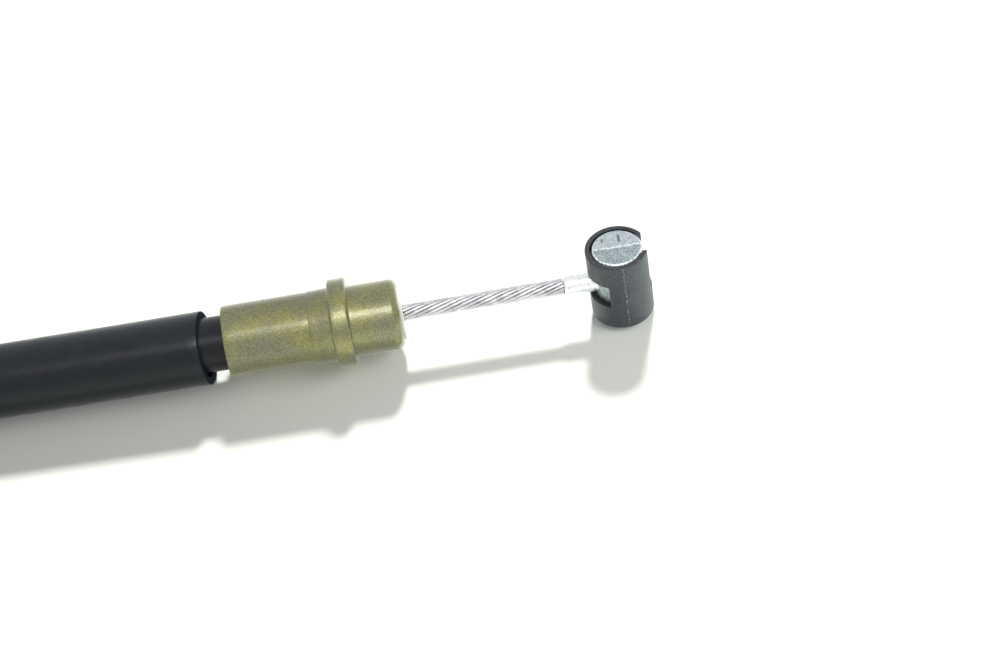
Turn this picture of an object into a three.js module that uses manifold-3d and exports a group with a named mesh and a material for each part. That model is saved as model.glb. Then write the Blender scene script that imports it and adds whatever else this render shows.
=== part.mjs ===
// Clutch cable for a small motorcycle, in millimetres, with +Z up and the lever end towards +X.
// The cable lies on a surface at z = 0. Its origin is under the middle of the lever end, which
// runs from the ferrule's crimped end to the far side of the nipple's bush.
// The length of conduit behind the lever end is wound into a neat coil held by three ties.

import * as THREE from 'three';
import { mergeVertices } from 'three/addons/utils/BufferGeometryUtils.js';
import Module from 'manifold-3d';

const wasm = await Module();
wasm.setup();

// Clearances
const seatGap = 0.3;
const faceGap = 0.05;
const bushGap = 0.2;

// Inner wire, a rope of 19 wires with 12 of them in its outer layer
const wireDiameter = 2.5;
const outerWires = 12;
const layLength = 22.6;
const leverFreeWire = 26.1;
const engineFreeWire = 26.0;
const wireInside = 27.5;
const wireStep = 1.7;

// Conduit, a plastic jacket on a steel winding
const conduitDiameter = 8.8;
const conduitBore = 4.4;
const conduitSides = 12;
const boreSides = 8;

// Lever ferrule, turned from bar and crimped onto the conduit
const ferruleDiameter = 11.5;
const crimpLength = 13.6;
const crimpFlats = 6;
const crimpDepth = 0.14;
const crimpStep = 0.12;
const ferruleBodyLength = 17.2;
const flangeDiameter = 14.3;
const flangeThickness = 2.9;
const flangeChamfer = 0.25;
const noseDiameter = 11.3;
const noseLength = 7.9;
const noseRounding = 1.3;
const socketDepth = 12.7;
const ferruleEdge = 0.3;
const flareHeight = 0.5;
const flareLength = 1.1;
const cornerChamfer = 0.15;

// White plastic cap in the nose, which guides the wire
const capDiameter = 7.9;
const capThickness = 0.6;
const capShankDiameter = 6.0;
const capShankLength = 7.0;
const capEdge = 0.15;

// Lever nipple, cast onto the wire, with its barrel upright and the die's parting ridge across its ends
const nippleDiameter = 8.1;
const nippleLength = 12.6;
const ridgeWidth = 0.35;
const ridgeHeight = 0.12;
const ridgeMargin = 0.9;
const nippleRounding = 0.45;
const nippleShift = 0.12;
const neckDiameter = 3.2;
const neckShown = 4.0;
const neckEdge = 0.35;

// Bush around the lever nipple, a split nylon tube with an L-shaped slot for the neck
const bushDiameter = 9.9;
const bushLength = 13.0;
const bushEdge = 0.2;
const slotHeight = 4.0;
const slotEndAngle = 246;
const notchWidth = 4.1;
const notchAngle = 6;

// Protective sleeve, a loose tube cut a little out of square
const sleeveDiameter = 11.8;
const sleeveWall = 0.85;
const sleeveLength = 60;
const sleeveSetBack = 2.7;
const sleeveCutSlope = 0.158;
const sleeveEdge = 0.12;

// Coil of the conduit, two turns side by side with one on top of them
const coilMeanRadius = 5.05 * conduitDiameter;
const coilCentreX = -170;
const tieThickness = 1.05;
const tieWidth = 4.6;
const tieAngles = [20, 150, 210];
const tieHead = { out: 4.2, along: 6.6, up: 7.4 };
const tieTail = { out: 1.0, along: 3.4, up: 4.2 };
const tieHeadHeight = 6.4;
const tieBite = 0.4;

// How far short of the coil's centre line the conduit's ends meet the ring
const ringEntry = 14;

// Engine ferrule, a plain turned cap, and its barrel nipple
const engineFerruleLength = 20;
const engineSocketDepth = 13;
const engineFerruleStart = 34;
const engineNippleDiameter = 7.0;
const engineNeckShown = 3.0;

// Sizes that follow from the ones above
const axisHeight = flangeDiameter / 2;
const ferruleLength = ferruleBodyLength + flangeThickness + noseLength;
const leverEndLength = ferruleLength + leverFreeWire + neckShown + bushDiameter;
const ferruleStart = -leverEndLength / 2;
const socketDiameter = conduitDiameter + 2 * seatGap;
const wireBore = wireDiameter + 2 * seatGap;
const sleeveAxisHeight = sleeveDiameter / 2 + 0.02;
const sleeveStart = ferruleStart - sleeveSetBack - sleeveLength;
const conduitRadius = conduitDiameter / 2;
const engineAxisHeight = ferruleDiameter / 2;
const coilLift = engineAxisHeight - conduitRadius;
const coilCentreY = coilMeanRadius;
const bundle = [
  { radius: coilMeanRadius - conduitRadius, height: engineAxisHeight },
  { radius: coilMeanRadius + conduitRadius, height: engineAxisHeight },
  { radius: coilMeanRadius, height: engineAxisHeight + conduitDiameter },
];
const engineY = coilCentreY + bundle[1].radius;

// The conduit's route from the ferrule to the coil's top turn, chosen by hand
const leverRoute = [
  [-21.6, 0, 7.15],
  [-34, 0, 7.15],
  [-50, 0, 6.96],
  [-66, 0, 6.77],
  [-82, 0, 6.58],
  [-97, 0, 6.42],
  [-106, 0, 6.9],
  [-115, 0, 8.1],
  [-124, 0, 9.8],
  [-133, 0, 12.3],
  [-142, 0, 14],
  [-149, 0, 14.5],
  [-156, 0, 14.55],
];
const sleeveRise = (leverRoute[1][2] - leverRoute[5][2]) / (leverRoute[1][0] - leverRoute[5][0]);

const materials = {
  passivatedZinc: { color: 0x8e8c55, roughness: 0.42, metalness: 0.85 },
  rope: { color: 0xc4c2c6, roughness: 0.35, metalness: 0.9 },
  castZinc: { color: 0xa9b4b4, roughness: 0.55, metalness: 0.8 },
  nylon: { color: 0x33383c, roughness: 0.5, metalness: 0 },
  jacket: { color: 0x24282d, roughness: 0.45, metalness: 0 },
  sleeve: { color: 0x1e2228, roughness: 0.5, metalness: 0 },
  whiteNylon: { color: 0xe6e6e0, roughness: 0.5, metalness: 0 },
  tie: { color: 0x1a1b1d, roughness: 0.55, metalness: 0 },
};

// Small helpers for shapes

function solidOf(geometry) {
  const bare = geometry.clone();
  bare.deleteAttribute('normal');
  bare.deleteAttribute('uv');
  const merged = mergeVertices(bare, 1e-5);
  const corners = [];
  for (let i = 0; i < merged.index.count; i += 3) {
    const [a, b, c] = [0, 1, 2].map((k) => merged.index.getX(i + k));
    if (a !== b && b !== c && c !== a) corners.push(a, b, c);
  }
  return new wasm.Manifold(new wasm.Mesh({
    numProp: 3,
    vertProperties: new Float32Array(merged.attributes.position.array),
    triVerts: new Uint32Array(corners),
  }));
}

function geometryOf(solid) {
  const mesh = solid.getMesh();
  const geometry = new THREE.BufferGeometry();
  geometry.setAttribute('position', new THREE.BufferAttribute(mesh.vertProperties, 3));
  geometry.setIndex(new THREE.BufferAttribute(mesh.triVerts, 1));
  geometry.computeVertexNormals();
  return geometry;
}

function cut(geometry, ...cutters) {
  return geometryOf(cutters.reduce((solid, cutter) => solid.subtract(solidOf(cutter)), solidOf(geometry)));
}

function join(geometry, ...others) {
  return geometryOf(others.reduce((solid, other) => solid.add(solidOf(other)), solidOf(geometry)));
}

function keep(geometry, other) {
  return geometryOf(solidOf(geometry).intersect(solidOf(other)));
}

// A solid of revolution about the X axis, from [x, radius] points that run out along the bore
// and back along the outside
function turned(profile, sides) {
  const points = profile.map(([x, radius]) => new THREE.Vector2(radius, x)).reverse();
  return new THREE.LatheGeometry(points, sides).rotateZ(-Math.PI / 2);
}

// A solid of revolution about the Z axis, from [z, radius] points that run up the outside
// and back down the bore
function upright(profile, sides) {
  const points = profile.map(([z, radius]) => new THREE.Vector2(radius, z));
  return new THREE.LatheGeometry(points, sides).rotateX(Math.PI / 2);
}

function arc(centreX, centreR, radius, startDegrees, endDegrees, steps) {
  return Array.from({ length: steps + 1 }, (_, i) => {
    const angle = THREE.MathUtils.degToRad(startDegrees + ((endDegrees - startDegrees) * i) / steps);
    return [centreX + radius * Math.cos(angle), centreR + radius * Math.sin(angle)];
  });
}

function part(name, geometry, material) {
  const mesh = new THREE.Mesh(geometry, new THREE.MeshStandardMaterial(material));
  mesh.name = name;
  return mesh;
}

// Inner wire

// The outline of the rope: one lobe for each outer wire, with a groove between lobes
function ropeSection() {
  const wireRadius = wireDiameter / 10;
  const ringRadius = wireDiameter / 2 - wireRadius;
  const lobe = (Math.PI * 2) / outerWires;
  const shoulder = lobe / 3;
  const shoulderRadius = ringRadius * Math.cos(shoulder)
    + Math.sqrt(wireRadius ** 2 - (ringRadius * Math.sin(shoulder)) ** 2);
  const lobePoints = [[-shoulder, shoulderRadius], [0, wireDiameter / 2], [shoulder, shoulderRadius]];
  const points = [];
  for (let i = 0; i < outerWires; i += 1) {
    for (const [offset, radius] of lobePoints) {
      const angle = i * lobe + offset;
      points.push(new THREE.Vector2(radius * Math.cos(angle), radius * Math.sin(angle)));
    }
  }
  return new THREE.Shape(points);
}

// The rope runs along +X from 0, with a left-hand lay: its section turns as it goes
function rope(length) {
  const steps = Math.round(length / wireStep);
  const geometry = new THREE.ExtrudeGeometry(ropeSection(), { depth: length, steps, bevelEnabled: false });
  const position = geometry.attributes.position;
  for (let i = 0; i < position.count; i += 1) {
    const turn = (-position.getZ(i) / layLength) * Math.PI * 2;
    const [x, y] = [position.getX(i), position.getY(i)];
    position.setX(i, x * Math.cos(turn) - y * Math.sin(turn));
    position.setY(i, x * Math.sin(turn) + y * Math.cos(turn));
  }
  geometry.rotateY(Math.PI / 2);
  return geometryOf(solidOf(geometry));
}

// Lever end, with x = 0 at the ferrule's crimped end and the wire on the X axis

function leverFerrule() {
  const radius = ferruleDiameter / 2;
  const flangeRadius = flangeDiameter / 2;
  const noseRadius = noseDiameter / 2;
  const flangeStart = ferruleBodyLength;
  const flangeEnd = ferruleBodyLength + flangeThickness;
  const turnedBlank = turned([
    [0, socketDiameter / 2],
    [socketDepth, socketDiameter / 2],
    [socketDepth, capShankDiameter / 2 + seatGap],
    [ferruleLength, capShankDiameter / 2 + seatGap],
    ...arc(ferruleLength - noseRounding, noseRadius - noseRounding, noseRounding, 0, 90, 6),
    [flangeEnd + cornerChamfer, noseRadius],
    [flangeEnd, noseRadius + cornerChamfer],
    [flangeEnd, flangeRadius - flangeChamfer],
    [flangeEnd - flangeChamfer, flangeRadius],
    [flangeStart + flangeChamfer, flangeRadius],
    [flangeStart, flangeRadius - flangeChamfer],
    [flangeStart, radius + flareHeight],
    [flangeStart - flareLength, radius + crimpStep],
    [crimpLength + crimpStep, radius + crimpStep],
    [crimpLength, radius],
    [ferruleEdge, radius],
    [0, radius - ferruleEdge],
    [0, socketDiameter / 2],
  ], 54);
  // The crimping jaws leave faint flats on the part that grips the conduit
  const cornerRadius = (radius - crimpDepth) / Math.cos(Math.PI / crimpFlats);
  const jaws = new THREE.CylinderGeometry(cornerRadius, cornerRadius, 2 * crimpLength, crimpFlats)
    .rotateZ(-Math.PI / 2);
  const beyond = new THREE.CylinderGeometry(flangeDiameter, flangeDiameter, ferruleLength, crimpFlats)
    .rotateZ(-Math.PI / 2).translate(crimpLength + ferruleLength / 2, 0, 0);
  return keep(turnedBlank, join(jaws, beyond));
}

function wireCap() {
  const radius = capDiameter / 2;
  return turned([
    [-capShankLength, wireBore / 2],
    [capThickness, wireBore / 2],
    [capThickness, radius - capEdge],
    [capThickness - capEdge, radius],
    [0, radius],
    [0, capShankDiameter / 2],
    [-capShankLength, capShankDiameter / 2],
    [-capShankLength, wireBore / 2],
  ], 32);
}

// A barrel with its axis along Z at the origin, a ridge across each end where the die's halves met,
// and a neck that reaches back along -X
function castNipple(diameter, length, neckReach) {
  const radius = diameter / 2;
  const halfLength = length / 2;
  const edge = nippleRounding;
  const barrel = upright([
    [-halfLength, 0],
    ...arc(-halfLength + edge, radius - edge, edge, 180, 90, 3),
    ...arc(halfLength - edge, radius - edge, edge, 90, 0, 3),
    [halfLength, 0],
  ], 56);
  const neckRadius = neckDiameter / 2;
  const neck = turned([
    [-neckReach, 0],
    [0, 0],
    [0, neckRadius],
    [-neckReach + neckEdge, neckRadius],
    [-neckReach, neckRadius - neckEdge],
    [-neckReach, 0],
  ], 24);
  const ridges = new THREE.BoxGeometry(diameter - 2 * ridgeMargin, ridgeWidth, length + 2 * ridgeHeight);
  return join(barrel, neck, ridges);
}

// A wedge of a ring, seen from above, from one angle to another
function ringSector(startDegrees, endDegrees, height) {
  const start = THREE.MathUtils.degToRad(startDegrees);
  const end = THREE.MathUtils.degToRad(endDegrees);
  const shape = new THREE.Shape();
  shape.absarc(0, 0, bushDiameter / 2 + 1, start, end, false);
  shape.absarc(0, 0, bushDiameter / 2 - 2, end, start, true);
  return new THREE.ExtrudeGeometry(shape, { depth: height, bevelEnabled: false, curveSegments: 24 })
    .translate(0, 0, -height / 2);
}

function nippleBush() {
  const outer = bushDiameter / 2;
  const inner = nippleDiameter / 2 + bushGap;
  const halfLength = bushLength / 2;
  const tube = upright([
    [-halfLength, inner],
    [-halfLength, outer - bushEdge],
    [-halfLength + bushEdge, outer],
    [halfLength - bushEdge, outer],
    [halfLength, outer - bushEdge],
    [halfLength, inner],
    [-halfLength, inner],
  ], 64);
  const slot = ringSector(notchAngle, slotEndAngle, slotHeight);
  const notchHeight = slotHeight / 2 + bushLength;
  const notch = new THREE.BoxGeometry(bushDiameter, notchWidth, notchHeight)
    .translate(bushDiameter / 2, 0, notchHeight / 2 - slotHeight / 2)
    .rotateZ(THREE.MathUtils.degToRad(notchAngle));
  return cut(tube, slot, notch);
}

function leverEnd() {
  const group = new THREE.Group();
  group.position.set(ferruleStart, 0, axisHeight);
  const nippleX = ferruleLength + leverFreeWire + neckShown + bushDiameter / 2;

  const ferrule = part('lever_ferrule', leverFerrule(), materials.passivatedZinc);

  const cap = part('wire_guide_cap', wireCap(), materials.whiteNylon);
  cap.position.x = ferruleLength + faceGap;

  const wire = part('lever_inner_wire', rope(wireInside + leverFreeWire - faceGap), materials.rope);
  wire.position.x = ferruleLength - wireInside;

  const neckReach = nippleX + nippleShift - ferruleLength - leverFreeWire;
  const nippleGeometry = castNipple(nippleDiameter, nippleLength, neckReach);
  const nipple = part('lever_nipple', nippleGeometry, materials.castZinc);
  nipple.position.x = nippleX + nippleShift;

  const bush = part('nipple_bush', nippleBush(), materials.nylon);
  bush.position.x = nippleX;

  group.add(ferrule, cap, wire, nipple, bush);
  return group;
}

// Sleeve, which hangs loosely on the conduit and rests on the surface at its far end

function protectiveSleeve() {
  const outer = sleeveDiameter / 2;
  const inner = outer - sleeveWall;
  const geometry = turned([
    [0, inner],
    [sleeveLength, inner],
    [sleeveLength, outer - sleeveEdge],
    [sleeveLength - sleeveEdge, outer],
    [sleeveEdge, outer],
    [0, outer - sleeveEdge],
    [0, inner],
  ], 48);
  const position = geometry.attributes.position;
  for (let i = 0; i < position.count; i += 1) {
    if (position.getX(i) > sleeveLength / 2) {
      const towardsFront = (position.getZ(i) - position.getY(i)) * Math.SQRT1_2;
      position.setX(i, position.getX(i) - sleeveCutSlope * towardsFront);
    }
  }
  const mesh = part('protective_sleeve', geometryOf(solidOf(geometry)), materials.sleeve);
  mesh.rotation.y = -Math.atan(sleeveRise);
  mesh.position.set(sleeveStart, 0, sleeveAxisHeight);
  return mesh;
}

// Conduit

function polygon(radius, sides) {
  return Array.from({ length: sides }, (_, i) => {
    const angle = (i / sides) * Math.PI * 2;
    return new THREE.Vector2(radius * Math.cos(angle), radius * Math.sin(angle));
  });
}

function conduitTube(points) {
  const section = new THREE.Shape(polygon(conduitRadius, conduitSides));
  section.holes.push(new THREE.Path(polygon(conduitBore / 2, boreSides).reverse()));
  const route = new THREE.CatmullRomCurve3(points.map((p) => new THREE.Vector3(...p)));
  const steps = Math.max(2, Math.round(route.getLength() / (1.25 * conduitDiameter)));
  return new THREE.ExtrudeGeometry(section, { steps, extrudePath: route, bevelEnabled: false });
}

// The angle from level of the straight flanks of the bundle of turns, from its outer turn to its top
// one, less a right angle
function flankLean() {
  const [, outer, top] = bundle;
  return Math.atan2(top.height - outer.height, top.radius - outer.radius) - Math.PI / 2;
}

// The outer shape of the bundle of turns, as a ring, grown by a margin on every side
function coilRing(margin) {
  const radius = conduitRadius + margin;
  const [inner, outer, top] = bundle;
  const lean = THREE.MathUtils.radToDeg(flankLean());
  const profile = [
    ...arc(outer.height, outer.radius, radius, 180, 90 - lean, 4),
    ...arc(top.height, top.radius, radius, 90 - lean, -90 + lean, 5),
    ...arc(inner.height, inner.radius, radius, -90 + lean, -180, 4),
  ];
  return upright([...profile, profile[0]], 52);
}

function coilTie(angleDegrees) {
  const loopOutline = (margin) => {
    const radius = conduitRadius + margin;
    const [inner, outer, top] = bundle;
    const lean = flankLean();
    const shape = new THREE.Shape();
    shape.absarc(outer.radius, outer.height, radius, -Math.PI / 2, lean, false);
    shape.absarc(top.radius, top.height, radius, lean, Math.PI - lean, false);
    shape.absarc(inner.radius, inner.height, radius, Math.PI - lean, Math.PI * 1.5, false);
    return shape;
  };
  const band = loopOutline(seatGap + tieThickness);
  band.holes.push(loopOutline(seatGap));
  const bandOutside = bundle[1].radius + conduitRadius + seatGap + tieThickness;
  const headCentre = bandOutside - tieBite + tieHead.out / 2;
  const loop = new THREE.ExtrudeGeometry(band, { depth: tieWidth, bevelEnabled: false, curveSegments: 5 })
    .translate(0, 0, -tieWidth / 2);
  const head = new THREE.BoxGeometry(tieHead.out, tieHead.up, tieHead.along)
    .translate(headCentre, tieHeadHeight, 0);
  const tail = new THREE.BoxGeometry(tieTail.out, tieTail.up, tieTail.along)
    .translate(headCentre, tieHeadHeight + (tieHead.up + tieTail.up) / 2 - tieBite, 0);
  return join(loop, head, tail).rotateX(Math.PI / 2).rotateZ(THREE.MathUtils.degToRad(angleDegrees));
}

function conduitPieces() {
  const leverRun = conduitTube(leverRoute);
  const engineRun = conduitTube([
    [coilCentreX + ringEntry, engineY, engineAxisHeight],
    [coilCentreX + engineFerruleStart, engineY, engineAxisHeight],
    [coilCentreX + engineFerruleStart + engineSocketDepth - seatGap, engineY, engineAxisHeight],
  ]);
  const coilClearance = coilRing(seatGap).translate(coilCentreX, coilCentreY, 0);

  const coil = new THREE.Group();
  coil.position.set(coilCentreX, coilCentreY, 0);
  const boreInCoil = new THREE.CylinderGeometry(conduitBore / 2, conduitBore / 2, engineFerruleStart, 16)
    .rotateZ(Math.PI / 2).translate(engineFerruleStart / 2 - faceGap, bundle[1].radius, engineAxisHeight);
  coil.add(part('conduit_coil', cut(coilRing(0), boreInCoil), materials.jacket));
  tieAngles.forEach((angle, i) => coil.add(part(`coil_tie_${i + 1}`, coilTie(angle), materials.tie)));

  return [
    part('conduit_lever_run', cut(leverRun, coilClearance), materials.jacket),
    part('conduit_engine_run', cut(engineRun, coilClearance), materials.jacket),
    coil,
  ];
}

// Engine end, with x = 0 at the ferrule's open end and the wire on the X axis

function engineFerrule() {
  const radius = ferruleDiameter / 2;
  return turned([
    [0, socketDiameter / 2],
    [engineSocketDepth, socketDiameter / 2],
    [engineSocketDepth, wireBore / 2],
    [engineFerruleLength, wireBore / 2],
    ...arc(engineFerruleLength - noseRounding, radius - noseRounding, noseRounding, 0, 90, 4),
    [ferruleEdge, radius],
    [0, radius - ferruleEdge],
    [0, socketDiameter / 2],
  ], 42);
}

function engineEnd() {
  const group = new THREE.Group();
  group.position.set(coilCentreX + engineFerruleStart, engineY, engineAxisHeight);

  const ferrule = part('engine_ferrule', engineFerrule(), materials.passivatedZinc);

  const wire = part('engine_inner_wire', rope(wireInside + engineFreeWire - faceGap), materials.rope);
  wire.position.x = engineFerruleLength - wireInside;

  const nippleReach = engineNeckShown + engineNippleDiameter / 2;
  const nippleLengthHere = 2 * (engineAxisHeight - ridgeHeight - faceGap);
  const nipple = part(
    'engine_nipple',
    castNipple(engineNippleDiameter, nippleLengthHere, nippleReach),
    materials.castZinc,
  );
  nipple.position.x = engineFerruleLength + engineFreeWire + nippleReach;

  group.add(ferrule, wire, nipple);
  return group;
}

const clutchCable = new THREE.Group();
clutchCable.add(leverEnd(), protectiveSleeve(), ...conduitPieces(), engineEnd());

export default clutchCable;
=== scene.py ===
"""Clutch cable: the finish of its conduit, sleeve, ferrules, rope, nipples, bush and coil ties."""

import math

import bmesh
import bpy
from mathutils import Matrix, Vector, noise


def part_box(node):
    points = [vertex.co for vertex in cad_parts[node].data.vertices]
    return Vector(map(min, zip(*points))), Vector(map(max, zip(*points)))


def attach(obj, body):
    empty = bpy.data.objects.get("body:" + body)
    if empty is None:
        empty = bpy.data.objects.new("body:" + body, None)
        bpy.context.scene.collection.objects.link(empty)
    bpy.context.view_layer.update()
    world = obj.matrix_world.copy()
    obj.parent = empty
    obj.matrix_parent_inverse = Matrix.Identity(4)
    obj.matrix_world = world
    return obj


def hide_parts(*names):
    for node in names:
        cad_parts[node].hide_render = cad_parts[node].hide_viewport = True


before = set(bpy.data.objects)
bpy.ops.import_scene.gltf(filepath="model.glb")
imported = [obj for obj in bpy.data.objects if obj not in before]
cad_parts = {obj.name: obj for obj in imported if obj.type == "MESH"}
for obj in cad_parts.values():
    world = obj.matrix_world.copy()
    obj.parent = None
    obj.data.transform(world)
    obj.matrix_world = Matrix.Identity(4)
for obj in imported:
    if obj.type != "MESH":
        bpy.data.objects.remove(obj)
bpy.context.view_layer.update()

bl_info = {
    "name": "Clutch Cable",
    "version": (1, 0, 0),
    "blender": (4, 5, 0),
    "location": "3D View > Sidebar > Cable",
    "description": "Builds a motorcycle clutch cable around its packed frame",
    "category": "Object",
}

MM = 0.001

# Vertices closer than this are one, in millimetres
WELD = 1e-4

# Edges sharper than this stay sharp in the shading
SHARP_DEGREES = 38.0

WHITE = (1.0, 1.0, 1.0, 1.0)

# Light that the white surroundings throw on things, and the part of the table's white that is its own,
# as the camera sees it and as it is reflected
SKY_LIGHT = 0.26
TABLE_GLOW = 0.10
TABLE_REFLECTED_GLOW = 0.32

# The conduit's route from the ferrule to the coil, in millimetres: the points of the part's source,
# with the slight bow to the rear that a real conduit has under its sleeve
LEVER_ROUTE = [
    (-21.6, 0, 7.15),
    (-34, 0, 7.15),
    (-50, 0.08, 6.96),
    (-66, 0.25, 6.77),
    (-82, 0.42, 6.58),
    (-97, 0.5, 6.42),
    (-106, 0.45, 6.9),
    (-115, 0.3, 8.1),
    (-124, 0.12, 9.8),
    (-133, 0, 12.3),
    (-142, 0, 14),
    (-149, 0, 14.5),
]


def linear(hex_colour):
    """An sRGB hex colour as the linear red, green and blue that Blender works in."""
    channels = [int(hex_colour[i:i + 2], 16) / 255 for i in (1, 3, 5)]
    return [c / 12.92 if c <= 0.04045 else ((c + 0.055) / 1.055) ** 2.4 for c in channels]


def box_mm(node):
    """A node's lowest and highest corners in millimetres."""
    low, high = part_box(node)
    return [c / MM for c in low], [c / MM for c in high]


def middle(low, high):
    """The middle of a box."""
    return [(a + b) / 2 for a, b in zip(low, high)]


def across(node, axis):
    """A node's size along one axis in millimetres."""
    low, high = box_mm(node)
    return high[axis] - low[axis]


# Sizes and colours


def length_property(name, millimetres, description):
    """A size that a user can change."""
    return bpy.props.FloatProperty(
        name=name,
        description=description,
        default=millimetres * MM,
        subtype="DISTANCE",
        unit="LENGTH",
    )


def colour_property(name, hex_colour, description):
    """A colour that a user can change."""
    return bpy.props.FloatVectorProperty(
        name=name,
        description=description,
        subtype="COLOR",
        size=3,
        min=0.0,
        max=1.0,
        default=linear(hex_colour),
    )


class CableSizes(bpy.types.PropertyGroup):
    """Sizes of the cable that can be changed"""

    conduit_diameter: length_property("Conduit diameter", 8.8, "Outside diameter of the conduit's jacket")
    rope_diameter: length_property(
        "Rope diameter",
        round(across("lever_inner_wire", 2), 2),
        "Outside diameter of the inner wire",
    )
    lay_length: length_property("Lay length", 22.6, "Length in which one wire of the rope goes once round")
    crimp_depth: length_property("Crimp depth", 0.14, "How far the crimping jaws press into a ferrule")
    sleeve_wall: length_property("Sleeve wall", 1.2, "Wall thickness of the protective sleeve")


class CableColours(bpy.types.PropertyGroup):
    """Main colours of the cable"""

    plate: colour_property("Zinc plate", "#83835E", "Yellow-passivated zinc plate on the ferrules")
    plate_yellow: colour_property("Plate, yellow patches", "#92905A", "Where the passivation is thickest")
    plate_grey: colour_property("Plate, thin patches", "#7D7C67", "Where the passivation is thin")
    rope: colour_property("Rope", "#D8D8DA", "Drawn steel wire")
    casting: colour_property("Zinc casting", "#AFB9BA", "Nipples, as cast")
    bush: colour_property("Bush", "#353B42", "Moulded nylon bush")
    jacket: colour_property("Jacket", "#15191E", "Extruded vinyl jacket")
    sleeve: colour_property("Sleeve", "#171C22", "Soft vinyl sleeve")
    cap: colour_property("Guide cap", "#E6E6E1", "Natural nylon cap")
    tie: colour_property("Ties", "#1B1C1E", "Black nylon ties")


def kit():
    """The sizes and colours in use."""
    return bpy.context.scene.cable_sizes, bpy.context.scene.cable_colours


# Nodes and materials

# The Mix node's sockets when it mixes colours, which have the same names as others of its sockets
FACTOR, FIRST, SECOND = 0, 6, 7
COLOUR_MIX = {"output": 2, "data_type": "RGBA"}
SOFT_LIGHT_MIX = {**COLOUR_MIX, "blend_type": "SOFT_LIGHT"}

# How noise is built up, and the stretch that nearly all of its values lie in
SOFT_NOISE = {"Detail": 3.0, "Roughness": 0.55}
SPECKLED_NOISE = {"Detail": 3.0, "Roughness": 0.7}
GRITTY_NOISE = {"Detail": 4.0, "Roughness": 0.75}
NOISE_RANGE = {"From Min": 0.3, "From Max": 0.7}


def add(tree, kind, inputs=None, output=0, stops=(), **settings):
    """Adds a node with its settings, sets or links its inputs, and gives one of its outputs.

    A colour ramp's stops are (position, linear colour), two or more.
    """
    made = tree.nodes.new("ShaderNode" + kind)
    for key, value in settings.items():
        setattr(made, key, value)
    for key, value in (inputs or {}).items():
        if isinstance(value, bpy.types.NodeSocket):
            tree.links.new(value, made.inputs[key])
        else:
            made.inputs[key].default_value = value
    if stops:
        elements = made.color_ramp.elements
        while len(elements) < len(stops):
            elements.new(1.0)
        for element, (position, colour) in zip(elements, stops):
            element.position = position
            element.color = [*colour, 1.0]
    return made.outputs[output] if len(made.outputs) else None


def new_material(name):
    """An empty node material and its tree."""
    material = bpy.data.materials.new(name)
    material.use_nodes = True
    material.node_tree.nodes.clear()
    return material, material.node_tree


def surface_space(tree, scale=(1.0, 1.0, 1.0)):
    """Object coordinates in millimetres, in which a pattern is longer along an axis with a small scale."""
    place = add(tree, "TexCoord", output="Object")
    return add(tree, "Mapping", {"Vector": place, "Scale": [s / MM for s in scale]})


def shaded(colour, amount):
    """A colour made darker or lighter."""
    return [min(1.0, c * amount) for c in colour]


def seen_strength(tree, unseen, seen, reflected):
    """The strength of the light that falls on things, of what the camera sees and of what is reflected."""
    glossy, passed, camera = (
        add(tree, "LightPath", output=f"Is {ray} Ray") for ray in ("Glossy", "Transmission", "Camera")
    )
    mirrored = add(tree, "Math", {0: glossy, 1: passed}, operation="MAXIMUM")
    strength = add(tree, "MapRange", {"Value": mirrored, "To Min": unseen, "To Max": reflected})
    return add(tree, "MapRange", {"Value": camera, "To Min": strength, "To Max": seen})


def zinc_plate_yellow_passivated(colours):
    """Turned steel with zinc plate and a yellow chromate film: olive metal, yellower in patches."""
    material, tree = new_material("zinc_plate_yellow_passivated_turned")
    # The plate's crystals are finer than this, and are drawn coarser so that they show
    patch_mm, crystal_mm, mark_mm = 7.0, 0.3, 0.12
    space = surface_space(tree)
    # Turning marks go round the axis, so they change fast along X and hardly at all round it
    turned = surface_space(tree, (1.0, 0.03, 0.03))
    film = add(tree, "TexNoise", {"Vector": space, "Scale": 1 / patch_mm, **SOFT_NOISE, "Detail": 4.0})
    crystals = add(tree, "TexNoise", {"Vector": space, "Scale": 1 / crystal_mm, **SPECKLED_NOISE})
    marks = add(tree, "TexNoise", {"Vector": turned, "Scale": 1 / mark_mm, **SOFT_NOISE})
    tint = add(
        tree,
        "ValToRGB",
        {"Fac": film},
        stops=[(0.36, colours.plate_grey), (0.5, colours.plate), (0.64, colours.plate_yellow)],
    )
    grain_stops = [(0.38, linear("#4A4A3C")), (0.62, linear("#D2D2C4"))]
    grains = add(tree, "ValToRGB", {"Fac": crystals}, stops=grain_stops)
    shade = add(tree, "Mix", {FACTOR: 0.5, FIRST: tint, SECOND: grains}, **SOFT_LIGHT_MIX)
    # The crimped body is duller than the turned flange and nose
    dull_to, bright_from = -18.0, -16.5
    along = add(tree, "SeparateXYZ", {"Vector": space}, output="X")
    roughness = add(
        tree,
        "MapRange",
        {"Value": along, "From Min": dull_to, "From Max": bright_from, "To Min": 0.58, "To Max": 0.38},
    )
    normal = add(tree, "Bump", {"Height": marks, "Distance": 0.012 * MM})
    normal = add(tree, "Bump", {"Height": crystals, "Distance": 0.035 * MM, "Normal": normal})
    shader = add(tree, "BsdfPrincipled", {
        "Base Color": shade,
        "Metallic": 1.0,
        "Roughness": roughness,
        "Normal": normal,
        # The passivation is a clear film over the zinc, which gives the highlight its white core
        "Coat Weight": 0.9,
        "Coat Roughness": 0.24,
    })
    add(tree, "OutputMaterial", {"Surface": shader})
    return material


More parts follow.
